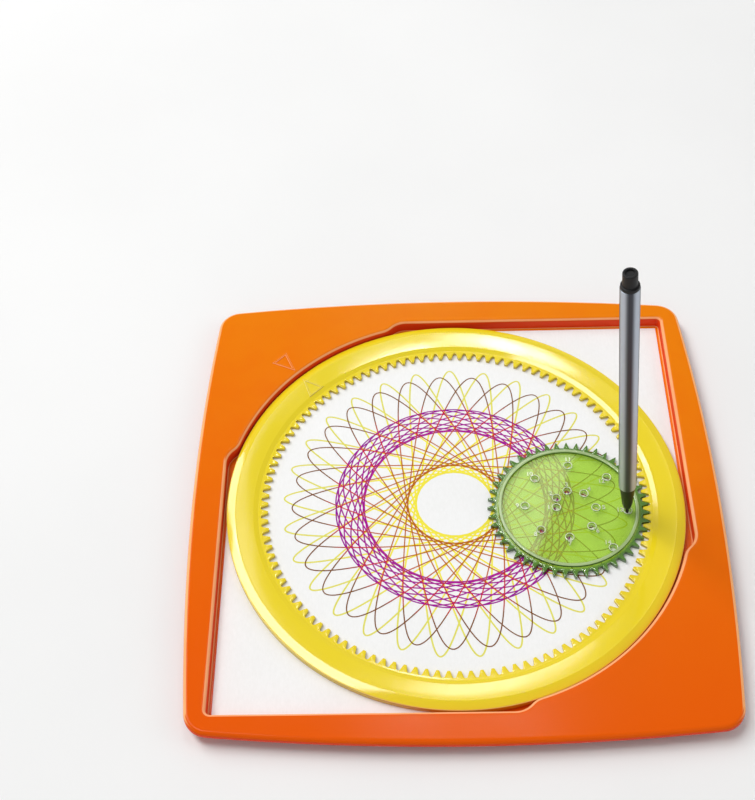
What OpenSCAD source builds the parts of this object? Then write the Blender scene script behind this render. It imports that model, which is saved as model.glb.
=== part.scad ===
// Spiral drawing machine: a square tray holds a sheet of paper and a toothed ring, and a
// toothed wheel rolls round inside the ring, led by a fibre pen that stands in one of its holes.
// Millimetres. The origin is on the table under the centre of the ring, with +Z up and +Y to the
// far side. The far-left and near-right corners of the tray are raised and locate the ring.

/* [Gearing] */
// Pitch diameter of a gear divided by its number of teeth
gear_module = 1.25; // [1.1:0.05:1.4]
// Number of teeth inside the ring
ring_teeth = 116; // [108:1:124]
// Number of teeth on the wheel
wheel_teeth = 47; // [45:1:54]
// Height of a tooth beyond the pitch circle
tooth_addendum = 1.2; // [0.9:0.05:1.25]
// Depth of a tooth behind the pitch circle
tooth_dedendum = 1.5; // [1.4:0.05:1.7]
// Slope of a tooth's straight flank
flank_angle = 18; // [16:1:22]
// Share of the pitch that a tooth of the ring takes at the pitch circle
ring_tooth_share = 0.5; // [0.44:0.01:0.54]
// Share of the pitch that a tooth of the wheel takes at the pitch circle
wheel_tooth_share = 0.32; // [0.3:0.01:0.36]
// Direction from the ring's centre to the wheel's centre
mesh_angle = -5; // [-180:0.5:180]

/* [Ring] */
// Width of the ring from its pitch circle to its outer edge
ring_band_w = 14.5; // [12:0.5:18]
// Thickness of the toothed flange
ring_tooth_t = 1.4; // [1.2:0.1:1.9]
// Width of the flat flange behind the teeth
ring_flat_w = 1; // [0.6:0.1:2]
// Width of the step from the flange up to the broad face
ring_step_w = 1.8; // [1:0.1:2.4]
// Thickness of the ring at the top of that step
ring_step_t = 2.2; // [2:0.1:2.6]
// Thickness of the ring at the crest of its broad face
ring_crest_t = 3.5; // [2.8:0.1:4]
// Width of the bevel from the crest down to the outer edge
ring_bevel_w = 3.5; // [2.5:0.1:4.5]
// Thickness of the ring at its outer edge
ring_edge_t = 2.6; // [1.2:0.1:2.7]

/* [Tray] */
// Gap between the ring and the straight walls of the recess
recess_gap = 1.2; // [0.8:0.1:4]
// Gap between the ring and the raised corners
platform_gap = 0.6; // [0.4:0.1:1.5]
// Half of the angle that a raised corner reaches around the ring
platform_half_span = 27; // [24:1:30]
// Radius of the two bends at each end of a raised corner
platform_bend_r = 8; // [6:0.5:9]
// Radius of the two open corners of the recess
recess_corner_r = 1.6; // [1.2:0.1:4]
// Width of the rim at the middle of a side
rim_w = 12; // [10:0.5:16]
// How far each side of the tray bows outwards
side_bow = 5; // [3:0.2:7]
// Radius of the tray's outer corners
tray_corner_r = 9; // [6:0.5:14]
// Height of the rim above the table
rim_h = 7.5; // [6.5:0.5:14]
// Thickness of the floor
floor_t = 2; // [1.5:0.1:3]
// Thickness of the walls and of the top of the rim
wall_t = 1.8; // [1.2:0.1:2.2]
// Height of the lip that hangs from the outer edge of the rim
lip_h = 3; // [2.6:0.2:4.4]
// Thickness of the ribs that stand under the raised corners
rib_t = 1.4; // [0.8:0.1:2]
// Angle between those ribs
rib_angle = 8; // [6:0.5:9]
// Distance of those ribs from the lip
rib_setback = 6; // [4:0.5:8]

/* [Paper] */
// Thickness of the sheet
paper_t = 0.3; // [0.1:0.05:0.6]
// Gap between the sheet and the straight walls of the recess
paper_gap = 1.4; // [0.8:0.1:2]
// How far inside the ring's outer edge the two trimmed corners of the sheet end
paper_trim = 2.5; // [1.5:0.1:5]

/* [Wheel] */
// Thickness of the toothed disc
wheel_t = 1.7; // [1.4:0.1:3]
// Gap under the disc
wheel_gap = 0.1; // [0.1:0.05:0.3]
// Distance from the wheel's pitch circle in to the raised rim
wheel_rim_inset = 2.9; // [2.8:0.1:3.4]
// Width of the raised rim
wheel_rim_w = 1.3; // [1:0.1:2]
// Height of the raised rim above the disc
wheel_rim_h = 1.2; // [0.8:0.1:2.4]
// Number of pen holes along the spiral
hole_count = 14; // [13:1:14]
// Radius of a pen hole
hole_r = 1.1; // [0.9:0.05:1.3]
// Distance of the first pen hole from the wheel's centre
hole_first_r = 4.5; // [4:0.1:5]
// Gap between the last pen hole and the raised rim
hole_margin = 0.35; // [0.3:0.05:1]
// Angle from each pen hole to the next
hole_turn = -45.4; // [-50:0.1:-40]
// Pen hole that holds the pen, counted from 0 at the centre
pen_hole = 12; // [6:1:12]

/* [Pen] */
// Height of the pen from its tip to its top
pen_len = 133; // [100:1:160]
// How far the pen leans to the left in its hole
pen_lean = 5.8; // [0:0.1:6]
// Radius of the barrel
barrel_r = 3.25; // [3.1:0.05:4.5]
// Wall of the barrel
barrel_wall = 0.55; // [0.4:0.05:0.7]
// Length of the tapered nose that shows below the barrel
nose_len = 14; // [10:0.5:20]
// Radius of the nose at its tip
nose_tip_r = 1.5; // [1.2:0.1:2]
// Length of the nib that shows below the nose
nib_show = 4.6; // [4.4:0.1:8]
// Radius of the nib
nib_r = 0.6; // [0.4:0.05:0.7]
// Gap between the nib and the paper
nib_gap = 0.1; // [0.05:0.05:0.3]
// Length of the spigots that fit in the barrel
spigot_len = 7; // [5:0.5:10]
// Radius of the end plug above its collar
plug_r = 2.45; // [1.8:0.05:2.7]
// Height of the end plug above its collar
plug_h = 5.2; // [3:0.2:8]
// Height of the plug's collar
plug_collar_h = 1.2; // [0.6:0.1:2]
// Radial clearance between pen pieces that fit together
pen_fit = 0.05; // [0.02:0.01:0.1]

/* [Marks] */
// Length of the arrow outline on the tray that shows how the ring lies
arrow_len = 9.8; // [7:0.2:10.4]
// Length of the arrow outline on the ring
ring_arrow_len = 8.4; // [7:0.2:8.8]
// Width of the arrow outlines
arrow_w = 7.6; // [6:0.2:9]
// Width of the line of an arrow outline
arrow_line = 0.8; // [0.5:0.1:1.1]
// How far an arrow outline stands proud
arrow_h = 0.35; // [0.2:0.05:0.6]
// Distance of the tray's arrow from the wall of the raised corner
arrow_inset = 1.4; // [1:0.1:2]
// Distance of the ring's arrow from its outer edge
ring_arrow_inset = 2; // [1:0.1:2.4]

/* [Hidden] */
$fn = 96;
overcut = 1;
arc_steps = 6;
long_arc_steps = 24;

// Radii of the meshing gears, and how much further out each next pen hole lies
tooth_pitch = PI * gear_module;
ring_pitch_r = gear_module * ring_teeth / 2;
wheel_pitch_r = gear_module * wheel_teeth / 2;
ring_outer_r = ring_pitch_r + ring_band_w;
ring_flat_r = ring_pitch_r + tooth_dedendum + ring_flat_w;
wheel_rim_r = wheel_pitch_r - wheel_rim_inset;
hole_last_r = wheel_rim_r - wheel_rim_w - hole_margin - hole_r;
hole_step = (hole_last_r - hole_first_r) / (hole_count - 1);

// Heights from the table
paper_top = floor_t + paper_t;
wheel_base = paper_top + wheel_gap;
wheel_top = wheel_base + wheel_t;

// Plan of the tray: the walls of its recess, its raised corners and its bowed sides
recess_half = ring_outer_r + recess_gap;
platform_r = ring_outer_r + platform_gap;
platform_mid_angle = 135;
platform_end_angle = platform_mid_angle + platform_half_span;
tray_half = recess_half + rim_w;
bow_chord = tray_half - side_bow;
bow_r = (bow_chord ^ 2 + side_bow ^ 2) / (2 * side_bow);
bow_centre = bow_r - tray_half;
corner_centre = (sqrt(2 * (bow_r - tray_corner_r) ^ 2 - bow_centre ^ 2) - bow_centre) / 2;
bow_end_angle = atan2(corner_centre, corner_centre + bow_centre);

// Ribs on each side of the middle of a raised corner
side_ribs = 3;

// Places of the wheel and the pen
wheel_centre = polar(ring_pitch_r - wheel_pitch_r, mesh_angle);
pen_place = wheel_centre + pen_hole_place(pen_hole);

// Heights and radii along the pen
nib_bottom = paper_top + nib_gap;
nose_bottom = nib_bottom + nib_show;
barrel_bottom = nose_bottom + nose_len;
barrel_top = nib_bottom + pen_len - plug_h - plug_collar_h;
bore_r = barrel_r - barrel_wall;
spigot_r = bore_r - pen_fit;
nib_top = barrel_bottom + spigot_len;
core_gap = 0.3;
plug_edge = 0.15;
plug_wall = 0.9;
dimple_r = plug_r - plug_wall;
dimple_depth = 0.8;

function polar(r, a) = [r * cos(a), r * sin(a)];

function turned(points, a) =
    [for (p = points) [p.x * cos(a) - p.y * sin(a), p.x * sin(a) + p.y * cos(a)]];

function arc(centre, r, from, to, steps) =
    [for (i = [0:steps]) centre + polar(r, from + (to - from) * i / steps)];

function degrees(length, r) = length / r * 180 / PI;

function pen_hole_place(i) = polar(hole_first_r + i * hole_step, 180 + i * hole_turn);

// One tooth per pitch with straight flanks, from the inner radius out to the outer radius
function teeth(count, inner_r, inner_half, outer_r, outer_half, first) =
    [for (i = [0:count - 1])
        let (a = first + i * 360 / count)
        each [polar(inner_r, a - degrees(inner_half, inner_r)),
              polar(outer_r, a - degrees(outer_half, outer_r)),
              polar(outer_r, a + degrees(outer_half, outer_r)),
              polar(inner_r, a + degrees(inner_half, inner_r))]];

// Outline of the tray with bowed sides and round corners, moved inwards by a margin
function tray_outline(margin) =
    [for (quarter = [0:90:270])
        each turned(concat(
            arc([-bow_centre, 0], bow_r - margin, -bow_end_angle, bow_end_angle, long_arc_steps),
            arc([corner_centre, corner_centre], tray_corner_r - margin,
                bow_end_angle, 90 - bow_end_angle, arc_steps)), quarter)];

// Outline of the recess round the open corner and the raised corner of one half, moved inwards
// by a margin. Each end of the raised corner is an S of two bends.
function recess_half_outline(margin) =
    let (end = platform_end_angle,
         out = polar(platform_r + platform_bend_r, end),
         in_x = platform_bend_r - recess_half,
         in_y = out.y - sqrt((2 * platform_bend_r) ^ 2 - (out.x - in_x) ^ 2),
         lean = atan2(out.y - in_y, out.x - in_x),
         open = recess_half - recess_corner_r,
         near_r = platform_bend_r - margin,
         far_r = platform_bend_r + margin)
    concat(arc([open, open], recess_corner_r - margin, 0, 90, arc_steps),
           arc([-in_y, -in_x], near_r, 90, 270 - lean, arc_steps),
           arc([-out.y, -out.x], far_r, 90 - lean, 90 - end, arc_steps),
           arc([0, 0], platform_r - margin, 270 - end, end, long_arc_steps),
           arc(out, far_r, end + 180, lean + 180, arc_steps),
           arc([in_x, in_y], near_r, lean, 180, arc_steps));

function recess_outline(margin) =
    concat(recess_half_outline(margin), turned(recess_half_outline(margin), 180));

// Outline of an arrow with its tip at the origin, pointing along -X
module arrow_outline(length) {
    half = arrow_w / 2;
    slope = half / length;
    side_shift = arrow_line * sqrt(1 + slope ^ 2);
    inner_base = length - arrow_line;
    inner_half = slope * inner_base - side_shift;
    difference() {
        polygon([[0, 0], [length, -half], [length, half]]);
        polygon([[side_shift / slope, 0], [inner_base, -inner_half], [inner_base, inner_half]]);
    }
}

// The flange from the outside of the recess walls out to the lip
module flange_plan(edge) {
    difference() {
        polygon(tray_outline(edge));
        polygon(recess_outline(-wall_t));
    }
}

module corner_ribs() {
    rib_len = 2 * tray_half;
    for (corner = [platform_mid_angle, platform_mid_angle + 180])
        for (i = [-side_ribs:side_ribs])
            rotate(corner + i * rib_angle)
                translate([platform_r, -rib_t / 2])
                    square([rib_len, rib_t]);
}

// A tub with a flat flange round it, a lip that hangs from the flange and ribs under its corners
module base_tray() {
    lip_bottom = rim_h - lip_h;
    color([0.93, 0.45, 0.03]) {
        difference() {
            union() {
                linear_extrude(rim_h) polygon(recess_outline(-wall_t));
                translate([0, 0, lip_bottom]) linear_extrude(lip_h) flange_plan(0);
            }
            translate([0, 0, floor_t]) linear_extrude(rim_h) polygon(recess_outline(0));
            translate([0, 0, lip_bottom - overcut])
                linear_extrude(lip_h - wall_t + overcut) flange_plan(wall_t);
        }
        linear_extrude(rim_h - wall_t)
            intersection() {
                corner_ribs();
                flange_plan(wall_t + rib_setback);
            }
        translate([0, 0, rim_h - wall_t / 2])
            linear_extrude(wall_t / 2 + arrow_h)
                rotate(platform_mid_angle)
                    translate([platform_r + arrow_inset, 0]) arrow_outline(arrow_len);
    }
}

// Outline of the sheet: a square whose two trimmed corners end under the ring
function sheet_outline() =
    let (half = recess_half - paper_gap,
         trim_r = ring_outer_r - paper_trim)
    concat([[half, half], [0, half]],
           arc([0, 0], trim_r, 90, 180, long_arc_steps),
           [[-half, 0], [-half, -half], [0, -half]],
           arc([0, 0], trim_r, 270, 360, long_arc_steps),
           [[half, 0]]);

module paper_sheet() {
    color([0.97, 0.97, 0.96])
        translate([0, 0, floor_t])
            linear_extrude(paper_t) polygon(sheet_outline());
}

// Solid disc with the ring's profile: a flange, a step, a broad rising face and a bevel
module ring_blank(raised) {
    translate([0, 0, paper_top])
        rotate_extrude()
            polygon([[0, 0],
                     [ring_outer_r, 0],
                     [ring_outer_r, ring_edge_t + raised],
                     [ring_outer_r - ring_bevel_w, ring_crest_t + raised],
                     [ring_flat_r + ring_step_w, ring_step_t + raised],
                     [ring_flat_r, ring_tooth_t + raised],
                     [0, ring_tooth_t + raised]]);
}

module ring_hole() {
    space_half = tooth_pitch * (1 - ring_tooth_share) / 2;
    polygon(teeth(ring_teeth,
                  ring_pitch_r - tooth_addendum, space_half + tooth_addendum * tan(flank_angle),
                  ring_pitch_r + tooth_dedendum, space_half - tooth_dedendum * tan(flank_angle),
                  mesh_angle));
}

module gear_ring() {
    color([0.95, 0.84, 0.16]) {
        difference() {
            ring_blank(0);
            translate([0, 0, paper_top - overcut])
                linear_extrude(ring_tooth_t + 2 * overcut) ring_hole();
        }
        intersection() {
            ring_blank(arrow_h);
            translate([0, 0, paper_top + ring_tooth_t / 2])
                linear_extrude(ring_crest_t + overcut)
                    rotate(platform_mid_angle)
                        translate([ring_outer_r - ring_arrow_inset, 0])
                            rotate(180) arrow_outline(ring_arrow_len);
        }
    }
}

module wheel_rim() {
    color([0.55, 0.8, 0.3, 0.8])
        translate([wheel_centre.x, wheel_centre.y, wheel_top])
            difference() {
                cylinder(r = wheel_rim_r, h = wheel_rim_h);
                translate([0, 0, -overcut])
                    cylinder(r = wheel_rim_r - wheel_rim_w, h = wheel_rim_h + 2 * overcut);
            }
}

module drawing_wheel() {
    tooth_half = tooth_pitch * wheel_tooth_share / 2;
    color([0.5, 0.76, 0.22, 0.75])
        translate([wheel_centre.x, wheel_centre.y, wheel_base])
            difference() {
                linear_extrude(wheel_t)
                    polygon(teeth(wheel_teeth,
                        wheel_pitch_r - tooth_dedendum,
                        tooth_half + tooth_dedendum * tan(flank_angle),
                        wheel_pitch_r + tooth_addendum,
                        tooth_half - tooth_addendum * tan(flank_angle), mesh_angle));
                for (i = [0:hole_count - 1])
                    translate([pen_hole_place(i).x, pen_hole_place(i).y, -overcut])
                        cylinder(r = hole_r, h = wheel_t + 2 * overcut);
            }
}

// Turns a profile of radius and height about the axis of the pen, which leans on its tip
module pen_turned(profile) {
    translate([pen_place.x, pen_place.y, nib_bottom])
        rotate([0, -pen_lean, 0])
            translate([0, 0, -nib_bottom]) rotate_extrude() polygon(profile);
}

module pen_nib() {
    point_r = nib_r / 2;
    point_h = 2 * nib_r;
    color([0.15, 0.15, 0.16])
        pen_turned([[0, nib_bottom], [point_r, nib_bottom], [nib_r, nib_bottom + point_h],
                    [nib_r, nib_top], [0, nib_top]]);
}

module pen_nose() {
    bore = nib_r + pen_fit;
    shoulder_r = barrel_r - barrel_wall / 2;
    color([0.1, 0.1, 0.11])
        pen_turned([[bore, nose_bottom], [nose_tip_r, nose_bottom], [shoulder_r, barrel_bottom],
                    [spigot_r, barrel_bottom], [spigot_r, nib_top], [bore, nib_top]]);
}

module pen_barrel() {
    color([0.5, 0.52, 0.55])
        pen_turned([[bore_r, barrel_bottom], [barrel_r, barrel_bottom], [barrel_r, barrel_top],
                    [bore_r, barrel_top]]);
}

module pen_ink_core() {
    core_top = barrel_top - spigot_len - core_gap;
    color([0.3, 0.3, 0.34])
        pen_turned([[0, nib_top], [bore_r - core_gap, nib_top],
                    [bore_r - core_gap, core_top], [0, core_top]]);
}

module pen_end_plug() {
    collar_r = barrel_r - plug_edge;
    collar_top = barrel_top + plug_collar_h;
    plug_top = collar_top + plug_h;
    plug_foot = barrel_top - spigot_len;
    color([0.06, 0.06, 0.06])
        pen_turned([[0, plug_foot], [spigot_r, plug_foot], [spigot_r, barrel_top],
                    [collar_r, barrel_top], [collar_r, collar_top], [plug_r, collar_top],
                    [plug_r, plug_top], [dimple_r, plug_top],
                    [dimple_r, plug_top - dimple_depth], [0, plug_top - dimple_depth]]);
}

base_tray();
paper_sheet();
gear_ring();
wheel_rim();
drawing_wheel();
pen_nib();
pen_nose();
pen_barrel();
pen_ink_core();
pen_end_plug();
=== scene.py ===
# Looks for the spiral drawing machine: tray, paper with a drawing, toothed ring, clear wheel, pen.
import math

import bmesh
import bpy
from mathutils import Matrix, Vector


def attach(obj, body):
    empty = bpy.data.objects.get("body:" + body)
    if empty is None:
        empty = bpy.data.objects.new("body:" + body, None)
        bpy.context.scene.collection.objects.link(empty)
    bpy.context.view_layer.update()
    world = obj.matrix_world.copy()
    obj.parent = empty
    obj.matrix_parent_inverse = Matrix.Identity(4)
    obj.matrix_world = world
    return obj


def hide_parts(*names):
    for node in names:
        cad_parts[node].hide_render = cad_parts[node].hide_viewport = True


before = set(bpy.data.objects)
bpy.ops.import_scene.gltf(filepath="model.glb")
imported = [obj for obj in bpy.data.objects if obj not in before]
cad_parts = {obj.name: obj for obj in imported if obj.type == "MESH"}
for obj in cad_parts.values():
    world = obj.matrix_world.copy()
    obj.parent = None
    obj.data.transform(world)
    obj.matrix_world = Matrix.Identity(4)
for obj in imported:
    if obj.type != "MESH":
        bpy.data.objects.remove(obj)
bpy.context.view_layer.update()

# Sizes in millimetres and angles in degrees, as in the part's source
MM = 0.001
GEAR_MODULE = 1.25
RING_TEETH = 116
WHEEL_TEETH = 47
ADDENDUM = 1.2
DEDENDUM = 1.5
FLANK = math.radians(18)
RING_SHARE = 0.5
WHEEL_SHARE = 0.32
MESH_ANGLE = -5.0
RING_R = GEAR_MODULE * RING_TEETH / 2
WHEEL_R = GEAR_MODULE * WHEEL_TEETH / 2
PITCH = math.pi * GEAR_MODULE

RING_BAND_W = 14.5
RING_FLAT_W = 1.0
RING_STEP_W = 1.8
RING_BEVEL_W = 3.5
RING_OUTER_R = RING_R + RING_BAND_W
RING_ROOT_R = RING_R + DEDENDUM
RING_FLAT_R = RING_ROOT_R + RING_FLAT_W
RING_STEP_R = RING_FLAT_R + RING_STEP_W
RING_CREST_R = RING_OUTER_R - RING_BEVEL_W
RING_TOOTH_T = 1.4
RING_STEP_T = 2.2
RING_CREST_T = 3.5
RING_EDGE_T = 2.6

RECESS_GAP = 1.2
RECESS_HALF = RING_OUTER_R + RECESS_GAP
RECESS_CORNER_R = 1.6
PLATFORM_GAP = 0.6
PLATFORM_R = RING_OUTER_R + PLATFORM_GAP
PLATFORM_MID = 135
PLATFORM_SPREAD = 27
PLATFORM_END = PLATFORM_MID + PLATFORM_SPREAD
BEND_R = 8.0
RIM_W = 12.0
TRAY_HALF = RECESS_HALF + RIM_W
SIDE_BOW = 5.0
TRAY_CORNER_R = 9.0
RIM_H = 7.5
FLOOR_T = 2.0
WALL_T = 1.8
SKIRT_H = 3.0
RIBS_BESIDE = 3
RIB_T = 1.4
RIB_ANGLE = 8
RIB_START = 1.2
RIB_SETBACK = 6.0
RIB_SINK = 0.3
RIB_EASE = 0.2

PAPER_T = 0.3
PAPER_TOP = FLOOR_T + PAPER_T
WHEEL_GAP = 0.1
WHEEL_T = 1.7
WHEEL_BASE = PAPER_TOP + WHEEL_GAP
WHEEL_TOP = WHEEL_BASE + WHEEL_T
WHEEL_CENTRE = (
    (RING_R - WHEEL_R) * math.cos(math.radians(MESH_ANGLE)),
    (RING_R - WHEEL_R) * math.sin(math.radians(MESH_ANGLE)),
)
LIP_INSET = 2.9
LIP_R = WHEEL_R - LIP_INSET
LIP_W = 1.3
LIP_RISE = 1.2
HOLES = 14
HOLE_R = 1.1
HOLE_MARGIN = 0.35
HOLE_FIRST_R = 4.5
HOLE_LAST_R = LIP_R - LIP_W - HOLE_MARGIN - HOLE_R
HOLE_STEP = (HOLE_LAST_R - HOLE_FIRST_R) / (HOLES - 1)
HOLE_TURN = -45.4
PEN_HOLE = 12

PEN_LEN = 133.0
PEN_LEAN = 5.8
BARREL_R = 3.25
BARREL_WALL = 0.55
BORE_R = BARREL_R - BARREL_WALL
SPIGOT_GAP = 0.05
SPIGOT_R = BORE_R - SPIGOT_GAP
SPIGOT_LEN = 7.0
NIB_GAP = 0.1
NIB_BOTTOM = PAPER_TOP + NIB_GAP
NIB_REACH = 4.6
NOSE_BOTTOM = NIB_BOTTOM + NIB_REACH
NOSE_LEN = 14.0
BARREL_BOTTOM = NOSE_BOTTOM + NOSE_LEN
NIB_TOP = BARREL_BOTTOM + SPIGOT_LEN
PLUG_R = 2.45
PLUG_H = 5.2
PLUG_COLLAR_H = 1.2
BARREL_TOP = NIB_BOTTOM + PEN_LEN - PLUG_H - PLUG_COLLAR_H

ARROW_LEN = 9.8
RING_ARROW_LEN = 8.4
ARROW_W = 7.6
ARROW_LINE = 0.8
ARROW_H = 0.35
ARROW_EASE = 0.2
ARROW_INSET = 1.4
RING_ARROW_INSET = 2.0
ARROW_FOOT = 0.3
RING_ARROW_FOOT = 0.5


# Plans

SIDE_STEPS = 40
CORNER_STEPS = 16
BEND_STEPS = 10
ARC_WALL_STEPS = 60
ARROW_STEPS = 8
HOLE_STEPS = 32

# Easing of a tooth's corners: along its root, as a share of its tip, and as a share of its flank
TOOTH_ROOT_EASE = 0.05
TOOTH_TIP_EASE = 0.3
TOOTH_FLANK_EASE = 0.14


def polar(r, angle, centre=(0.0, 0.0)):
    a = math.radians(angle)
    return centre[0] + r * math.cos(a), centre[1] + r * math.sin(a)


def turned(points, angle):
    c, s = math.cos(math.radians(angle)), math.sin(math.radians(angle))
    return [(x * c - y * s, x * s + y * c) for x, y in points]


def arc(centre, r, start, end, steps, last=False):
    """Points along an arc, without its last point unless a straight side follows it."""
    count = steps + 1 if last else steps
    return [polar(r, start + (end - start) * i / steps, centre) for i in range(count)]


def tray_outline(margin):
    """The tray's bowed sides and round corners, moved inwards by a margin."""
    chord = TRAY_HALF - SIDE_BOW
    bow_r = (chord ** 2 + SIDE_BOW ** 2) / (2 * SIDE_BOW)
    bow_centre = bow_r - TRAY_HALF
    corner = (math.sqrt(2 * (bow_r - TRAY_CORNER_R) ** 2 - bow_centre ** 2) - bow_centre) / 2
    end = math.degrees(math.atan2(corner, corner + bow_centre))
    points = []
    for side_turn in (0, 90, 180, 270):
        side = arc((-bow_centre, 0), bow_r - margin, -end, end, SIDE_STEPS)
        bend = arc((corner, corner), TRAY_CORNER_R - margin, end, 90 - end, CORNER_STEPS)
        points += turned(side + bend, side_turn)
    return points


def recess_outline(margin):
    """The walls of the paper recess with its two raised corners, moved inwards by a margin."""
    out = polar(PLATFORM_R + BEND_R, PLATFORM_END)
    in_x = BEND_R - RECESS_HALF
    in_y = out[1] - math.sqrt((2 * BEND_R) ** 2 - (out[0] - in_x) ** 2)
    lean = math.degrees(math.atan2(out[1] - in_y, out[0] - in_x))
    open_corner = RECESS_HALF - RECESS_CORNER_R
    near, far = BEND_R - margin, BEND_R + margin
    wall_r = PLATFORM_R - margin
    half = (
        arc((open_corner, open_corner), RECESS_CORNER_R - margin, 0, 90, BEND_STEPS, last=True)
        + arc((-in_y, -in_x), near, 90, 270 - lean, BEND_STEPS)
        + arc((-out[1], -out[0]), far, 90 - lean, 90 - PLATFORM_END, BEND_STEPS)
        + arc((0, 0), wall_r, 270 - PLATFORM_END, PLATFORM_END, ARC_WALL_STEPS)
        + arc(out, far, PLATFORM_END + 180, lean + 180, BEND_STEPS)
        + arc((in_x, in_y), near, lean, 180, BEND_STEPS, last=True)
    )
    return half + turned(half, 180)


def tooth_outline(count, inner_r, inner_half, outer_r, outer_half, grow):
    """A row of straight teeth with eased corners, eight points to a pitch, grown by a margin."""
    side = grow * (1 / math.cos(FLANK) - math.tan(FLANK))
    inner_r, outer_r = inner_r + grow, outer_r + grow
    inner_half, outer_half = inner_half + side, outer_half + side
    rise = TOOTH_FLANK_EASE * (outer_r - inner_r)
    half = [
        (inner_r, inner_half + TOOTH_ROOT_EASE),
        (inner_r + rise, inner_half + TOOTH_FLANK_EASE * (outer_half - inner_half)),
        (outer_r - rise, outer_half + TOOTH_FLANK_EASE * (inner_half - outer_half)),
        (outer_r, outer_half - TOOTH_TIP_EASE * outer_half),
    ]
    points = []
    for i in range(count):
        middle = MESH_ANGLE + i * 360 / count
        points += [polar(r, middle - math.degrees(h / r)) for r, h in half]
        points += [polar(r, middle + math.degrees(h / r)) for r, h in reversed(half)]
    return points


def ring_teeth(grow):
    space = PITCH * (1 - RING_SHARE) / 2
    return tooth_outline(RING_TEETH, RING_R - ADDENDUM, space + ADDENDUM * math.tan(FLANK),
                         RING_ROOT_R, space - DEDENDUM * math.tan(FLANK), grow)


def wheel_teeth(grow):
    tooth = PITCH * WHEEL_SHARE / 2
    return tooth_outline(WHEEL_TEETH, WHEEL_R - DEDENDUM, tooth + DEDENDUM * math.tan(FLANK),
                         WHEEL_R + ADDENDUM, tooth - ADDENDUM * math.tan(FLANK), grow)


def round_line(points, r):
    """A circle with one point in the direction of each of the given points."""
    return [polar(r, math.degrees(math.atan2(y, x))) for x, y in points]


def hole_place(i, centre=(0.0, 0.0), beside=0.0):
    """Where a pen hole lies on the wheel's spiral, or a place beside it on the same line."""
    return polar(HOLE_FIRST_R + HOLE_STEP * i + beside, 180 + HOLE_TURN * i, centre)


def pen_place():
    """Stands a pen that was made upright at the origin in its hole, with its lean."""
    x, y = hole_place(PEN_HOLE, WHEEL_CENTRE)
    tip = Vector((x * MM, y * MM, NIB_BOTTOM * MM))
    return (Matrix.Translation(tip) @ Matrix.Rotation(math.radians(-PEN_LEAN), 4, "Y")
            @ Matrix.Translation((0, 0, -NIB_BOTTOM * MM)))


def arrow_line(length, inset):
    """A triangle with its tip at the origin, pointing along -X, inset by a margin."""
    slope = ARROW_W / 2 / length
    shift = inset * math.sqrt(1 + slope ** 2)
    base = length - inset
    half = slope * base - shift
    corners = [(shift / slope, 0.0), (base, -half), (base, half)]
    points = []
    for (x0, y0), (x1, y1) in zip(corners, corners[1:] + corners[:1]):
        points += [(x0 + (x1 - x0) * i / ARROW_STEPS, y0 + (y1 - y0) * i / ARROW_STEPS)
                   for i in range(ARROW_STEPS)]
    return points


def quarter(steps):
    """Sine and cosine along a quarter turn."""
    return [(math.sin(math.pi / 2 * i / steps), math.cos(math.pi / 2 * i / steps))
            for i in range(steps + 1)]


def eased(profile, steps=4):
    """A profile of (radius, height, corner radius) with each corner made an arc."""
    points = []
    for i, (r, z, ease) in enumerate(profile):
        here = Vector((r, z))
        if ease == 0:
            points.append((r, z))
            continue
        before = Vector(profile[i - 1][:2]) - here
        after = Vector(profile[(i + 1) % len(profile)][:2]) - here
        before.normalize()
        after.normalize()
        bend = before.angle(after)
        setback = ease / math.tan(bend / 2)
        centre = here + (before + after).normalized() * (ease / math.sin(bend / 2))
        start = (here + before * setback - centre).normalized()
        end = (here + after * setback - centre).normalized()
        for k in range(steps + 1):
            points.append(tuple(centre + ease * start.slerp(end, k / steps)))
    return points


# Meshes

SHARP_ANGLE = math.radians(38)
MERGE_DISTANCE = 1e-7


def new_mesh():
    bm = bmesh.new()
    bm.verts.layers.int.new("place")
    return bm


def height_at(heights, i):
    """Heights are one number for a whole line, or a list with one for each point."""
    return heights[i] if isinstance(heights, list) else heights


def closed_line(bm, points, heights):
    """A closed line of edges through points at their heights."""
    place = bm.verts.layers.int["place"]
    verts = []
    for i, (x, y) in enumerate(points):
        verts.append(bm.verts.new((x * MM, y * MM, height_at(heights, i) * MM)))
        verts[-1][place] = i
    return [bm.edges.new((verts[i - 1], v)) for i, v in enumerate(verts)]


def loft(bm, sections, closed=False):
    """Extrudes a closed line through sections of points and heights. Gives its two end lines."""
    place = bm.verts.layers.int["place"]
    first = line = closed_line(bm, *sections[0])
    for points, heights in sections[1:] + (sections[:1] if closed else []):
        made = bmesh.ops.extrude_edge_only(bm, edges=line)["geom"]
        verts = {v for v in made if isinstance(v, bmesh.types.BMVert)}
        for v in verts:
            i = v[place]
            v.co = (points[i][0] * MM, points[i][1] * MM, height_at(heights, i) * MM)
        line = [e for e in made if isinstance(e, bmesh.types.BMEdge)
                and e.verts[0] in verts and e.verts[1] in verts]
    return first, line


def fill(bm, *lines):
    """Closes the space inside a line, or between a line and the lines inside it."""
    edges = [e for line in lines for e in line]
    bmesh.ops.triangle_fill(bm, use_beauty=True, use_dissolve=False, edges=edges)


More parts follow.
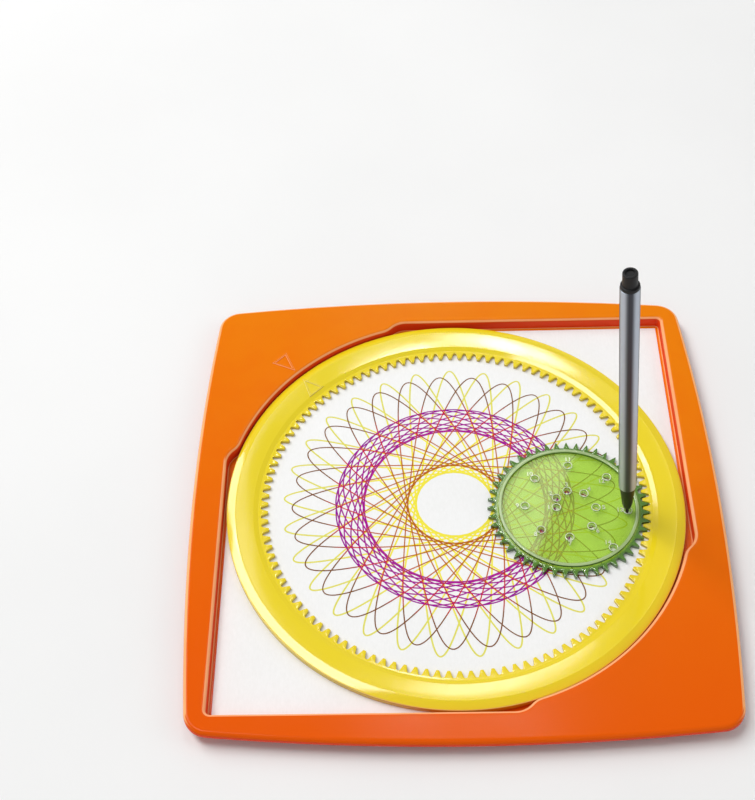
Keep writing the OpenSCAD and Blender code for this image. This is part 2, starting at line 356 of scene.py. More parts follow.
def spin(bm, profile, steps):
    """Turns a profile of radius and height about Z. A profile off the axis is a closed line."""
    verts = [bm.verts.new((r * MM, 0, z * MM)) for r, z in profile]
    edges = [bm.edges.new(pair) for pair in zip(verts, verts[1:])]
    if profile[0][0] > 0 and profile[-1][0] > 0:
        edges.append(bm.edges.new((verts[-1], verts[0])))
    bmesh.ops.spin(bm, geom=verts + edges, cent=(0, 0, 0), axis=(0, 0, 1), dvec=(0, 0, 0),
                   angle=math.tau, steps=steps, use_merge=True, use_normal_flip=False,
                   use_duplicate=False)


def box(bm, size, matrix, ease):
    """A block with eased edges, its size in millimetres."""
    made = bmesh.ops.create_cube(bm, size=1.0)["verts"]
    bmesh.ops.scale(bm, verts=made, vec=[s * MM for s in size])
    bmesh.ops.transform(bm, verts=made, matrix=matrix)
    edges = list({e for v in made for e in v.link_edges})
    bmesh.ops.bevel(bm, geom=edges, offset=ease * MM, segments=2, profile=0.5, affect="EDGES",
                    material=-1)


def piece(name, bm, body, finish, nodes=()):
    """Closes a mesh, makes it an object that rides on a body and gives it its finish."""
    bmesh.ops.remove_doubles(bm, verts=bm.verts, dist=MERGE_DISTANCE)
    bmesh.ops.recalc_face_normals(bm, faces=bm.faces)
    for face in bm.faces:
        face.smooth = True
    for edge in bm.edges:
        edge.smooth = edge.calc_face_angle(0.0) < SHARP_ANGLE
    mesh = bpy.data.meshes.new(name)
    bm.to_mesh(mesh)
    bm.free()
    mesh.materials.append(finish)
    obj = bpy.data.objects.new(name, mesh)
    bpy.context.scene.collection.objects.link(obj)
    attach(obj, body)
    if nodes:
        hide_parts(*nodes)


# Finishes

# Numbers of a Mix node's two colour inputs and of its colour output
MIX_COLOURS_IN = (6, 7)
MIX_COLOUR_OUT = 2


class Wire:
    """An output in a finish's node tree. Maths on wires adds Math nodes."""

    def __init__(self, tree, socket=None):
        self.tree = tree
        self.socket = socket

    def make(self, kind, settings=None, sockets=None, out=0):
        node = self.tree.nodes.new(kind)
        for name, value in (settings or {}).items():
            if name == "stops":
                ramp = node.color_ramp.elements
                while len(ramp) < len(value):
                    ramp.new(0.5)
                for stop, (position, colour) in zip(ramp, value):
                    stop.position = position
                    stop.color = (*colour, 1.0)
            else:
                setattr(node, name, value)
        for name, value in (sockets or {}).items():
            if isinstance(value, Wire):
                self.tree.links.new(value.socket, node.inputs[name])
            else:
                node.inputs[name].default_value = value
        return Wire(self.tree, node.outputs[out] if len(node.outputs) else None)

    def math(self, operation, *values):
        return self.make("ShaderNodeMath", {"operation": operation}, dict(enumerate(values)))

    def __add__(self, other):
        return self.math("ADD", self, other)

    def __sub__(self, other):
        return self.math("SUBTRACT", self, other)

    def __rsub__(self, other):
        return self.math("SUBTRACT", other, self)

    def __mul__(self, other):
        return self.math("MULTIPLY", self, other)

    def __truediv__(self, other):
        return self.math("DIVIDE", self, other)

    def __pow__(self, other):
        return self.math("POWER", self, other)

    __radd__ = __add__
    __rmul__ = __mul__

    def between(self, low, high):
        """0 at low and 1 at high, eased and clamped."""
        return self.make("ShaderNodeMapRange", {"interpolation_type": "SMOOTHSTEP"},
                         {"Value": self, "From Min": low, "From Max": high})

    def ramp(self, *stops):
        return self.make("ShaderNodeValToRGB", {"stops": stops}, {"Fac": self})

    def noise(self, scale, detail=3.0, roughness=0.5):
        return self.make("ShaderNodeTexNoise", {}, {
            "Vector": self, "Scale": scale, "Detail": detail, "Roughness": roughness})

    def stretched(self, scale, turn=(0, 0, 0)):
        return self.make("ShaderNodeMapping", {},
                         {"Vector": self, "Scale": scale, "Rotation": turn})

    def axes(self):
        split = self.make("ShaderNodeSeparateXYZ", {}, {"Vector": self}).socket.node
        return [Wire(self.tree, out) for out in split.outputs]

    def blend(self, a, b):
        """Colour a where this wire is 0 and colour b where it is 1."""
        mix = self.make("ShaderNodeMix", {"data_type": "RGBA"}, {0: self}, out=MIX_COLOUR_OUT)
        for number, value in zip(MIX_COLOURS_IN, (a, b)):
            socket = mix.socket.node.inputs[number]
            if isinstance(value, Wire):
                self.tree.links.new(value.socket, socket)
            else:
                socket.default_value = (*value, 1.0)
        return mix

    def bump(self, strength, depth):
        return self.make("ShaderNodeBump", {},
                         {"Height": self, "Strength": strength, "Distance": depth})


def new_finish(name):
    """A material with an empty tree. Gives it, its tree's start and the place on a piece."""
    material = bpy.data.materials.new(name)
    material.use_nodes = True
    material.node_tree.nodes.clear()
    start = Wire(material.node_tree)
    place = start.make("ShaderNodeTexCoord", out="Object")
    return material, start, place


def facing(start):
    """How far a surface faces right, back and up, each from -1 to 1."""
    return start.make("ShaderNodeNewGeometry", out="Normal").axes()


def shade(start, sockets):
    return start.make("ShaderNodeBsdfPrincipled", {}, sockets)


def show(start, surface):
    start.make("ShaderNodeOutputMaterial", {}, {"Surface": surface})


# How far moulded surfaces face up or back where the painted shade of walls and the painted
# highlight of round edges start and end
WALL_SHADE_ENDS = (0.2, 0.5)
HIGHLIGHT_STARTS = (0.25, 0.5)
HIGHLIGHT_ENDS = (0.72, 0.9)
BACK_HIGHLIGHT_ENDS = (0.93, 0.985)
BACK_HIGHLIGHT_FACING = (-0.15, -0.02)
FRONT_SIDE_ENDS = (-0.5, -0.2)

# Distances from the middle of the object, in metres
OUTER_EDGE = (0.090, 0.093)
DRIFT_REACH = 0.1


def moulded(name, light, deep, wall_painted_shade_and_light, edge, outer_edge_highlight, back_edge_highlight, gloss, turn, specular):
    """Glossy moulded plastic: colour drifts over the piece, walls are deeper and round edges paler.

    The deeper walls are painted shade and the paler round edges a painted highlight. The drift goes
    from light to deep in the direction of turn. At a back_edge_highlight of 1, edges that don't
    face the front get the painted highlight nearly up to the level face. The outer front edges get
    none.
    """
    material, start, place = new_finish(name)
    x, y = place.axes()[:2]
    c, s = math.cos(math.radians(turn)), math.sin(math.radians(turn))
    drift = (x * c + y * s) / DRIFT_REACH + 0.25 * (place.noise(14.0) - 0.5)
    back, up = facing(start)[1:]
    colour = drift.between(-1.2, 1.2).blend(light, deep)
    # Steep faces take the wall colour, which is painted shade
    colour = (1 - up.between(*WALL_SHADE_ENDS)).blend(colour, wall_painted_shade_and_light)
    # Round edges get a painted highlight, wider where they face the back and left off the outer
    # front side
    back_highlight_share = back_edge_highlight * back.between(*BACK_HIGHLIGHT_FACING)
    level = (1 - back_highlight_share) * up.between(*HIGHLIGHT_ENDS) + back_highlight_share * up.between(*BACK_HIGHLIGHT_ENDS)
    farthest = start.math("MAXIMUM", start.math("ABSOLUTE", x), start.math("ABSOLUTE", y))
    outside = farthest.between(*OUTER_EDGE)
    front_side = outside * (1 - back.between(*FRONT_SIDE_ENDS))
    painted_highlight = (up.between(*HIGHLIGHT_STARTS) - level) * (1 - front_side)
    colour = painted_highlight.blend(colour, outside.blend(edge, outer_edge_highlight))
    mottle = place.noise(90.0, detail=4.0).between(0.35, 0.7)
    colour = (0.12 * mottle).blend(colour, deep)
    streak = place.stretched((1.0, 0.12, 1.0), turn=(0, 0, 0.6)).noise(900.0, detail=2.0)
    scuff = streak.between(0.56, 0.72)
    haze = place.noise(35.0).between(0.4, 0.75)
    grain = place.noise(700.0, detail=2.0) * 0.6 + place.noise(60.0, detail=1.0)
    show(start, shade(start, {
        "Base Color": colour, "Roughness": gloss + 0.05 * haze + 0.06 * scuff,
        "Normal": grain.bump(strength=0.10, depth=0.0001), "Specular IOR Level": specular,
        "IOR": 1.5}))
    return material


def drawing_paper(name, low, high):
    material, start, place = new_finish(name)
    lengthwise = place.stretched((1.0, 0.35, 1.0), turn=(0, 0, 0.4))
    strand = lengthwise.noise(1500.0, detail=4.0, roughness=0.65)
    cloud = place.noise(22.0)
    show(start, shade(start, {
        "Base Color": (0.6 * strand + 0.4 * cloud).between(0.3, 0.7).blend(low, high),
        "Roughness": 0.86 + 0.1 * cloud,
        "Normal": (strand + 0.5 * cloud).bump(strength=0.12, depth=0.00006),
        "Specular IOR Level": 0.2}))
    return material


def ink(name, inner, middle, outer, reach):
    """Felt pen ink whose colour changes from the drawing's centre outwards."""
    material, start, place = new_finish(name)
    x, y = place.axes()[:2]
    r = (x * x + y * y) ** 0.5
    flow = place.noise(260.0) - 0.5
    tone = r / (reach * MM) + 0.2 * flow
    colour = tone.ramp((0.2, inner), (0.5, inner), (0.6, middle), (0.72, middle), (0.82, outer))
    show(start, shade(start, {
        "Base Color": colour, "Roughness": 0.6 + 0.3 * flow, "Specular IOR Level": 0.1}))
    return material


# Width over which the wheel's colour turns into that of its teeth
TOOTH_FADE = 0.9


def clear_plastic(name, tint, body, wall_painted_shade_and_light, share, gloss, teeth=None):
    """Clear coloured plastic: what lies behind shows through in its tint.

    share is how solid its level faces are, and teeth gives the colours of tooth tops and flanks.
    Steep faces take the colour given for walls, which is painted shade where it is dark and a
    painted glint where it is light; the flank colour is painted shade.
    """
    material, start, place = new_finish(name)
    swirl = place.stretched((1.0, 1.0, 3.0)).noise(45.0, detail=4.0)
    steep = 1 - start.math("ABSOLUTE", facing(start)[2]).between(0.1, 0.9)
    deeper = [0.8 * b for b in body]
    # Steep faces get the wall colour: painted shade where it is dark, a painted glint where it is
    # light
    colour = steep.blend(swirl.between(0.3, 0.7).blend(body, deeper), wall_painted_shade_and_light)
    solid = share + 0.5 * steep + 0.06 * (swirl - 0.5)
    if teeth:
        x, y = place.axes()[:2]
        dx, dy = x - WHEEL_CENTRE[0] * MM, y - WHEEL_CENTRE[1] * MM
        from_centre = (dx ** 2 + dy ** 2) ** 0.5
        toothed = from_centre.between(LIP_R * MM, (LIP_R + TOOTH_FADE) * MM)
        # Teeth are darker and more solid; their flanks get painted shade
        colour = toothed.blend(colour, steep.blend(*teeth))
        solid = solid + 0.4 * toothed
    streak = place.stretched((1.0, 0.15, 1.0), turn=(0, 0, -0.5)).noise(1100.0, detail=2.0)
    scuff = streak.between(0.58, 0.75)
    ripple = place.noise(120.0, detail=2.0)
    surface = shade(start, {
        "Base Color": colour, "Roughness": gloss + 0.08 * scuff,
        "Specular IOR Level": 1.0, "IOR": 1.7,
        "Normal": ripple.bump(strength=0.015, depth=0.0001)})
    through = start.make("ShaderNodeBsdfTransparent", {}, {"Color": (*tint, 1.0)})
    show(start, start.make("ShaderNodeMixShader", {}, {0: solid, 1: through, 2: surface}))
    return material


def along_pen(place):
    """Coordinates about the pen's own axis, from its tip up."""
    return place.make("ShaderNodeMapping", {"vector_type": "TEXTURE"}, {
        "Vector": place, "Location": pen_place() @ Vector((0, 0, NIB_BOTTOM * MM)),
        "Rotation": (0, math.radians(-PEN_LEAN), 0)})


def lacquer_with_painted_sheen(name, light, dark, sheen_bands, turn):
    """Grey metallic lacquer with painted reflections: soft light and dark stripes of painted sheen
    along the barrel, with fine streaks in them.
    """
    material, start, place = new_finish(name)
    own = along_pen(place)
    x, y = own.axes()[:2]
    around = start.math("ARCTAN2", y, x)
    streak = own.stretched((1.0, 1.0, 0.012)).noise(2600.0, roughness=0.6)
    # Painted sheen: light and dark stripes fixed at turns about the barrel's axis
    painted_sheen = start.math("COSINE", sheen_bands * (around - math.radians(turn)))
    tone = 0.5 + 0.5 * painted_sheen + 0.22 * (streak - 0.5)
    show(start, shade(start, {
        "Base Color": tone.between(0.0, 1.0).blend(dark, light), "Metallic": 0.2,
        "Roughness": 0.34 + 0.16 * streak,
        "Normal": streak.bump(strength=0.06, depth=0.00004), "IOR": 1.5}))
    return material


def dark_plastic(name, low, high, rough):
    material, start, place = new_finish(name)
    grain = place.noise(1400.0)
    cloud = place.noise(160.0)
    show(start, shade(start, {
        "Base Color": cloud.between(0.3, 0.7).blend(low, high), "Roughness": rough + 0.15 * cloud,
        "Normal": grain.bump(strength=0.2, depth=0.00005), "Specular IOR Level": 0.3}))
    return material


def fibre(name, low, high):
    material, start, place = new_finish(name)
    strand = along_pen(place).stretched((1.0, 1.0, 0.05)).noise(6000.0)
    show(start, shade(start, {
        "Base Color": strand.between(0.3, 0.7).blend(low, high), "Roughness": 0.85 + 0.1 * strand,
        "Normal": strand.bump(strength=0.3, depth=0.00005)}))
    return material


# The wall colours of both moulded finishes are painted shade, their edge colours painted highlights
TRAY_FINISH = moulded(
    "orange_plastic", light=(0.84, 0.215, 0.002), deep=(0.80, 0.100, 0.001),
    wall_painted_shade_and_light=(0.80, 0.055, 0.010), edge=(1.0, 0.44, 0.20), outer_edge_highlight=(1.0, 0.48, 0.19),
    back_edge_highlight=1.0, gloss=0.16, turn=-102.0, specular=0.1)
RING_FINISH = moulded(
    "yellow_plastic", light=(0.86, 0.68, 0.012), deep=(0.86, 0.66, 0.012),
    wall_painted_shade_and_light=(0.60, 0.45, 0.015), edge=(0.96, 0.80, 0.22), outer_edge_highlight=(0.96, 0.80, 0.22),
    back_edge_highlight=0.0, gloss=0.09, turn=-60.0, specular=0.7)
# The wheel's light-coloured hole walls are a painted glint and its dark tooth flanks painted shade
WHEEL_FINISH = clear_plastic(
    "clear_green_plastic", tint=(0.92, 0.985, 0.68), body=(0.60, 0.95, 0.07),
    wall_painted_shade_and_light=(0.62, 0.86, 0.34), share=0.31, gloss=0.03,
    teeth=((0.11, 0.29, 0.02), (0.03, 0.11, 0.005)))
# The lip's light top is a painted highlight and its dark sides are painted shade
LIP_FINISH = clear_plastic(
    "clear_green_lip_painted_light_and_shade", tint=(0.94, 0.99, 0.76), body=(0.66, 0.86, 0.40),
    wall_painted_shade_and_light=(0.03, 0.13, 0.006), share=0.62, gloss=0.06)
# The marks' light tops are painted glints and their dark sides are painted shade
MARK_FINISH = clear_plastic(
    "clear_green_marks_painted_glints_and_shade", tint=(0.95, 0.99, 0.80), body=(0.88, 0.97, 0.66),
    wall_painted_shade_and_light=(0.08, 0.22, 0.02), share=0.85, gloss=0.05)
# The light and dark colours are the painted reflections of the barrel's sheen
BARREL_PAINTED_SHEEN_FINISH = lacquer_with_painted_sheen(
    "grey_lacquer_painted_sheen", light=(0.52, 0.58, 0.67), dark=(0.030, 0.035, 0.050),
    sheen_bands=4, turn=-139.0)
BLACK_FINISH = dark_plastic(
    "black_plastic", low=(0.004, 0.004, 0.0045), high=(0.010, 0.010, 0.011), rough=0.34)
NIB_FINISH = fibre("nib_fibre", low=(0.015, 0.012, 0.014), high=(0.05, 0.035, 0.04))
CORE_FINISH = fibre("ink_core_fibre", low=(0.03, 0.03, 0.06), high=(0.08, 0.08, 0.12))
PAPER_FINISH = drawing_paper("drawing_paper", low=(0.88, 0.88, 0.87), high=(0.93, 0.93, 0.925))


# Tray

# Roundings of the outer rim, the recess wall's top and foot, the skirt's lower edges and the tub
RIM_EDGE_R = 1.7
RECESS_EDGE_R = 1.5
RECESS_FOOT_R = 0.5
EDGE_STEPS = 8
FOOT_STEPS = 4
DECK_LAND = 0.4
SKIRT_INNER_EASE = 0.3
SKIRT_EDGE, SKIRT_EDGE_MID = 0.5, 0.15
TUB_EDGE, TUB_EDGE_MID = 0.6, 0.18

# Sides this close to parallel with a direction are passed over
PARALLEL = 1e-9


def raised_arrow(bm, angle, length, tip_r, flip, foot, top):
    """A raised triangle outline. foot and top give heights at a radius."""
    def line(inset, height):
        sign = -1 if flip else 1
        points = [(sign * x + tip_r, sign * y) for x, y in arrow_line(length, inset)]
        return turned(points, angle), [height(math.hypot(x, y)) for x, y in points]

    def shoulder(r):
        return top(r) - ARROW_EASE

    loft(bm, [line(0, foot), line(0, shoulder), line(ARROW_EASE, top),
              line(ARROW_LINE - ARROW_EASE, top), line(ARROW_LINE, shoulder),
              line(ARROW_LINE, foot)], closed=True)


def outline_reach(points, angle):
    """How far a closed outline lies from the origin in a direction."""
    best = 0.0
    ux, uy = polar(1, angle)
    for (x0, y0), (x1, y1) in zip(points, points[1:] + points[:1]):
        dx, dy = x1 - x0, y1 - y0
        cross = ux * dy - uy * dx
        if abs(cross) < PARALLEL:
            continue
        t = (x0 * dy - y0 * dx) / cross
        k = (x0 * uy - y0 * ux) / cross
        if 0 <= k <= 1 and t > best:
            best = t
    return best


def make_tray():
    bm = new_mesh()
    skirt_bottom = RIM_H - SKIRT_H
    under = RIM_H - WALL_T
    side = [(WALL_T, under), (WALL_T, skirt_bottom + SKIRT_INNER_EASE),
            (WALL_T - SKIRT_INNER_EASE, skirt_bottom), (SKIRT_EDGE, skirt_bottom),
            (SKIRT_EDGE_MID, skirt_bottom + SKIRT_EDGE_MID), (0, skirt_bottom + SKIRT_EDGE)]
    side += [(RIM_EDGE_R * (1 - c), RIM_H - RIM_EDGE_R * (1 - s)) for s, c in quarter(EDGE_STEPS)]
    side += [(RIM_EDGE_R + DECK_LAND, RIM_H)]
    under_line, deck_line = loft(bm, [(tray_outline(m), z) for m, z in side])
    well = [(-RECESS_EDGE_R - DECK_LAND, RIM_H)]
    well += [(-RECESS_EDGE_R * (1 - s), RIM_H - RECESS_EDGE_R * (1 - c))
             for s, c in quarter(EDGE_STEPS)]
    well += [(RECESS_FOOT_R * (1 - c), FLOOR_T + RECESS_FOOT_R * (1 - s))
             for s, c in quarter(FOOT_STEPS)]
    deck_inner, floor_line = loft(bm, [(recess_outline(m), z) for m, z in well])
    tub = [(-WALL_T, under), (-WALL_T, TUB_EDGE), (-WALL_T + TUB_EDGE_MID, TUB_EDGE_MID),
           (-WALL_T + TUB_EDGE, 0)]
    under_inner, bottom_line = loft(bm, [(recess_outline(m), z) for m, z in tub])
    fill(bm, deck_line, deck_inner)
    fill(bm, under_line, under_inner)
    fill(bm, floor_line)
    fill(bm, bottom_line)
    rib_line = tray_outline(WALL_T + RIB_SETBACK)
    rib_h = under + RIB_SINK
    for corner in (PLATFORM_MID, PLATFORM_MID + 180):
        for i in range(-RIBS_BESIDE, RIBS_BESIDE + 1):
            angle = corner + i * RIB_ANGLE
            start, end = PLATFORM_R + RIB_START, outline_reach(rib_line, angle)
            matrix = Matrix.Rotation(math.radians(angle), 4, "Z") @ Matrix.Translation(
                ((start + end) / 2 * MM, 0, rib_h / 2 * MM))
            box(bm, (end - start, RIB_T, rib_h), matrix, RIB_EASE)
    raised_arrow(bm, PLATFORM_MID, ARROW_LEN, PLATFORM_R + ARROW_INSET, False,
                 lambda r: RIM_H - ARROW_FOOT, lambda r: RIM_H + ARROW_H)
    piece("orange_tray", bm, "base", TRAY_FINISH, ["base_tray"])


# Ring

TOOTH_LAND = 0.4
RING_CORNER_STEPS = 5

# Rows of radius, height above the paper and corner radius
RING_TOP = [
    (RING_ROOT_R + TOOTH_LAND, RING_TOOTH_T, 0),
    (RING_FLAT_R, RING_TOOTH_T, 0.5),
    (RING_STEP_R, RING_STEP_T, 0.6),
    (RING_CREST_R, RING_CREST_T, 0.9),
    (RING_OUTER_R, RING_EDGE_T, 0.55),
]
RING_PROFILE = RING_TOP + [(RING_OUTER_R, 0.0, 0.25), (RING_ROOT_R + TOOTH_LAND, 0.0, 0)]

# Tooth edges, with rows of how far the outline grows and how far that is below the top
TOOTH_FOOT_EASE = 0.12
TOOTH_EDGE = 0.3
RING_TOOTH_EASE = [(0.06, 0.08), (0.18, 0.0)]
WHEEL_TOOTH_EASE = [(-0.07, 0.09), (-0.2, 0.0)]


def ring_height(r):
    """Height of the ring's top at a radius."""
    for (r0, z0, _), (r1, z1, _) in zip(RING_TOP, RING_TOP[1:]):
        if r <= r1:
            return PAPER_TOP + z0 + (z1 - z0) * max(0.0, r - r0) / (r1 - r0)
    return PAPER_TOP + RING_EDGE_T


def make_ring():
    bm = new_mesh()
    teeth = ring_teeth(0)
    base, top = PAPER_TOP, PAPER_TOP + RING_TOOTH_T
    sections = [(ring_teeth(TOOTH_FOOT_EASE), base), (teeth, base + TOOTH_FOOT_EASE),
                (teeth, top - TOOTH_EDGE)]
    sections += [(ring_teeth(grow), top - drop) for grow, drop in RING_TOOTH_EASE]
    sections += [(round_line(teeth, r), PAPER_TOP + z)
                 for r, z in eased(RING_PROFILE, RING_CORNER_STEPS)]
    loft(bm, sections, closed=True)
    raised_arrow(bm, PLATFORM_MID, RING_ARROW_LEN, RING_OUTER_R - RING_ARROW_INSET, True,
                 lambda r: ring_height(r) - RING_ARROW_FOOT, lambda r: ring_height(r) + ARROW_H)
    piece("yellow_toothed_ring", bm, "ring", RING_FINISH, ["gear_ring"])


# Wheel

FIELD_INSET = 0.6
ROOT_LAND = 0.7
HOLE_EASE = 0.25

DIGIT_SIZE = 2.6
DIGIT_DEPTH = 0.3
DIGIT_WEIGHT = 0.05
DIGIT_LIFT = 0.1
DIGIT_CURVE_STEPS = 3
DIGIT_OFFSET = 2.9
OUTWARD_DIGITS = 11

HOLE_COLLAR_INNER = 0.3
HOLE_COLLAR_OUTER = 0.7
HOLE_COLLAR_H = 0.4
HOLE_COLLAR_EASE = 0.15
HOLE_COLLAR_LIFT = 0.01

LIP_LIFT = 0.02
LIP_FOOT_EASE = 0.1
LIP_TOP_EASE = 0.35
LIP_CORNER_STEPS = 6
LIP_STEPS = 160


def put_digits(bm, text, matrix):
    """Raised digits as a mesh, with their middle on the XY plane before they are placed."""
    curve = bpy.data.curves.new("digits", "FONT")
    curve.body = text
    curve.size = DIGIT_SIZE * MM
    curve.extrude = DIGIT_DEPTH / 2 * MM
    curve.offset = DIGIT_WEIGHT * MM
    curve.align_x = "CENTER"
    curve.align_y = "CENTER"
    curve.resolution_u = DIGIT_CURVE_STEPS
    holder = bpy.data.objects.new("digits", curve)
    mesh = bpy.data.meshes.new_from_object(holder)
    mesh.transform(matrix)
    bm.from_mesh(mesh)
    bpy.data.objects.remove(holder)
    bpy.data.curves.remove(curve)
    bpy.data.meshes.remove(mesh)


def move_to_wheel(bm):
    bmesh.ops.translate(bm, verts=bm.verts, vec=(WHEEL_CENTRE[0] * MM, WHEEL_CENTRE[1] * MM, 0))


def make_wheel():
    bm = new_mesh()
    teeth = wheel_teeth(0)
    field = round_line(teeth, LIP_R - FIELD_INSET)
    root = round_line(teeth, WHEEL_R - DEDENDUM - ROOT_LAND)
    sections = [(field, WHEEL_BASE), (root, WHEEL_BASE),
                (wheel_teeth(-TOOTH_FOOT_EASE), WHEEL_BASE), (teeth, WHEEL_BASE + TOOTH_FOOT_EASE),
                (teeth, WHEEL_TOP - TOOTH_EDGE)]
    sections += [(wheel_teeth(grow), WHEEL_TOP - drop) for grow, drop in WHEEL_TOOTH_EASE]
    sections += [(root, WHEEL_TOP), (field, WHEEL_TOP)]
    bottom, top = loft(bm, sections)
    below, above = [bottom], [top]
    hole = [(HOLE_R + HOLE_EASE, WHEEL_BASE), (HOLE_R, WHEEL_BASE + HOLE_EASE),
            (HOLE_R, WHEEL_TOP - HOLE_EASE), (HOLE_R + HOLE_EASE, WHEEL_TOP)]
    for i in range(HOLES):
        low, high = loft(bm, [(arc(hole_place(i), r, 0, 360, HOLE_STEPS), z) for r, z in hole])
        below.append(low)
        above.append(high)
    fill(bm, *below)
    fill(bm, *above)
    move_to_wheel(bm)
    piece("clear_green_wheel", bm, "wheel", WHEEL_FINISH, ["drawing_wheel"])


def make_hole_marks():
    """A low collar round each pen hole and its number, outwards of it or, near the lip, inwards."""
    bm = new_mesh()
    inner, outer = HOLE_R + HOLE_COLLAR_INNER, HOLE_R + HOLE_COLLAR_OUTER
    collar = eased([
        (inner, HOLE_COLLAR_LIFT, 0), (outer, HOLE_COLLAR_LIFT, 0),
        (outer, HOLE_COLLAR_H, HOLE_COLLAR_EASE), (inner, HOLE_COLLAR_H, HOLE_COLLAR_EASE)])
    for i in range(HOLES):
        beside = DIGIT_OFFSET if i < OUTWARD_DIGITS else -DIGIT_OFFSET
        x, y = hole_place(i, WHEEL_CENTRE, beside)
        put_digits(bm, str(i + 1),
                   Matrix.Translation((x * MM, y * MM, (WHEEL_TOP + DIGIT_LIFT) * MM)))
        centre = hole_place(i, WHEEL_CENTRE)
        loft(bm, [(arc(centre, r, 0, 360, HOLE_STEPS), WHEEL_TOP + z) for r, z in collar],
             closed=True)
    piece("hole_collars_and_numbers", bm, "wheel", MARK_FINISH)


def make_wheel_lip():
    bm = new_mesh()
    low, high = WHEEL_TOP + LIP_LIFT, WHEEL_TOP + LIP_RISE
    profile = [(LIP_R - LIP_W, low, LIP_FOOT_EASE), (LIP_R, low, LIP_FOOT_EASE),
               (LIP_R, high, LIP_TOP_EASE), (LIP_R - LIP_W, high, LIP_TOP_EASE)]
    spin(bm, eased(profile, LIP_CORNER_STEPS), LIP_STEPS)
    move_to_wheel(bm)
    piece("wheel_lip", bm, "rim", LIP_FINISH, ["wheel_rim"])


# Pen

PEN_STEPS = 72
NIB_R = 0.6
NIB_POINT_H = 1.2
NOSE_BORE_R = 0.65
NOSE_TIP_R = 1.5
NOSE_RING_R, NOSE_RING_H = 1.75, 2.2
NOSE_STEP_R, NOSE_STEP_H = 1.95, 2.4
SHOULDER_R = BARREL_R - BARREL_WALL / 2
SHOULDER_TAPER, SHOULDER_H = 0.1, 1.2
PLUG_COLLAR_STEP = 0.15
PLUG_COLLAR_R = BARREL_R - PLUG_COLLAR_STEP
DIMPLE_RIM_W = 0.9
DIMPLE_R = PLUG_R - DIMPLE_RIM_W
DIMPLE_DEPTH = 0.8


def pen_piece(name, profile, finish, node):
    """Spins a profile of (radius, height, corner radius) and puts it in the pen's place."""
    bm = new_mesh()
    spin(bm, eased(profile), PEN_STEPS)
    bmesh.ops.transform(bm, matrix=pen_place(), verts=bm.verts)
    piece(name, bm, "pen", finish, [node])


def make_pen():
    pen_piece("felt_nib", [
        (0, NIB_BOTTOM, 0), (NIB_R / 2, NIB_BOTTOM, 0.2), (NIB_R, NIB_BOTTOM + NIB_POINT_H, 0.3),
        (NIB_R, NIB_TOP, 0), (0, NIB_TOP, 0)], NIB_FINISH, "pen_nib")
    pen_piece("black_nose", [
        (NOSE_BORE_R, NOSE_BOTTOM, 0), (NOSE_TIP_R, NOSE_BOTTOM, 0.3),
        (NOSE_RING_R, NOSE_BOTTOM + NOSE_RING_H, 0), (NOSE_STEP_R, NOSE_BOTTOM + NOSE_STEP_H, 0.1),
        (SHOULDER_R - SHOULDER_TAPER, BARREL_BOTTOM - SHOULDER_H, 0.4),
        (SHOULDER_R, BARREL_BOTTOM, 0), (SPIGOT_R, BARREL_BOTTOM, 0), (SPIGOT_R, NIB_TOP, 0),
        (NOSE_BORE_R, NIB_TOP, 0)], BLACK_FINISH, "pen_nose")
    pen_piece("grey_barrel", [
        (BORE_R, BARREL_BOTTOM, 0), (BARREL_R, BARREL_BOTTOM, 0.2), (BARREL_R, BARREL_TOP, 0.25),
        (BORE_R, BARREL_TOP, 0)], BARREL_PAINTED_SHEEN_FINISH, "pen_barrel")
    spigot_bottom = BARREL_TOP - SPIGOT_LEN
    collar_top = BARREL_TOP + PLUG_COLLAR_H
    plug_top = collar_top + PLUG_H
    dimple_bottom = plug_top - DIMPLE_DEPTH
    pen_piece("black_end_plug", [
        (0, spigot_bottom, 0), (SPIGOT_R, spigot_bottom, 0.3), (SPIGOT_R, BARREL_TOP, 0),
        (PLUG_COLLAR_R, BARREL_TOP, 0), (PLUG_COLLAR_R, collar_top, 0.35),
        (PLUG_R, collar_top, 0.15), (PLUG_R, plug_top, 0.35), (DIMPLE_R, plug_top, 0.2),
        (DIMPLE_R, dimple_bottom, 0.2), (0, dimple_bottom, 0)],
        BLACK_FINISH, "pen_end_plug")


# Drawing

CURVE_LOBES = 29
CURVE_TURNS = 13
CURVE_ORBIT = 40.0
LOBE_STEPS = 60
INK_LIFT = 0.002
INK_RISE = 0.022


def make_curve(name, finish, arm, turn, width, height):
    """A closed hypotrochoid line of ink. It rises a little on its way, to cross over itself."""
    count = CURVE_LOBES * LOBE_STEPS
    start = math.radians(turn)
    points = []
    for i in range(count):
        t = math.tau * CURVE_TURNS * i / count
        k = (CURVE_LOBES - CURVE_TURNS) / CURVE_TURNS * t
        points.append((CURVE_ORBIT * math.cos(t + start) + arm * math.cos(k - start),
                       CURVE_ORBIT * math.sin(t + start) - arm * math.sin(k - start)))
    left, right = [], []
    for i, (x, y) in enumerate(points):
        x0, y0 = points[i - 1]
        x1, y1 = points[(i + 1) % count]
        length = math.hypot(x1 - x0, y1 - y0)
        nx, ny = -(y1 - y0) / length * width / 2, (x1 - x0) / length * width / 2
        left.append((x + nx, y + ny))
        right.append((x - nx, y - ny))
    low = PAPER_TOP + INK_LIFT
    high = [PAPER_TOP + height + INK_RISE * i / count for i in range(count)]
    bm = new_mesh()
    loft(bm, [(left, low), (left, high), (right, high), (right, low)], closed=True)
    piece(name, bm, "base", finish)


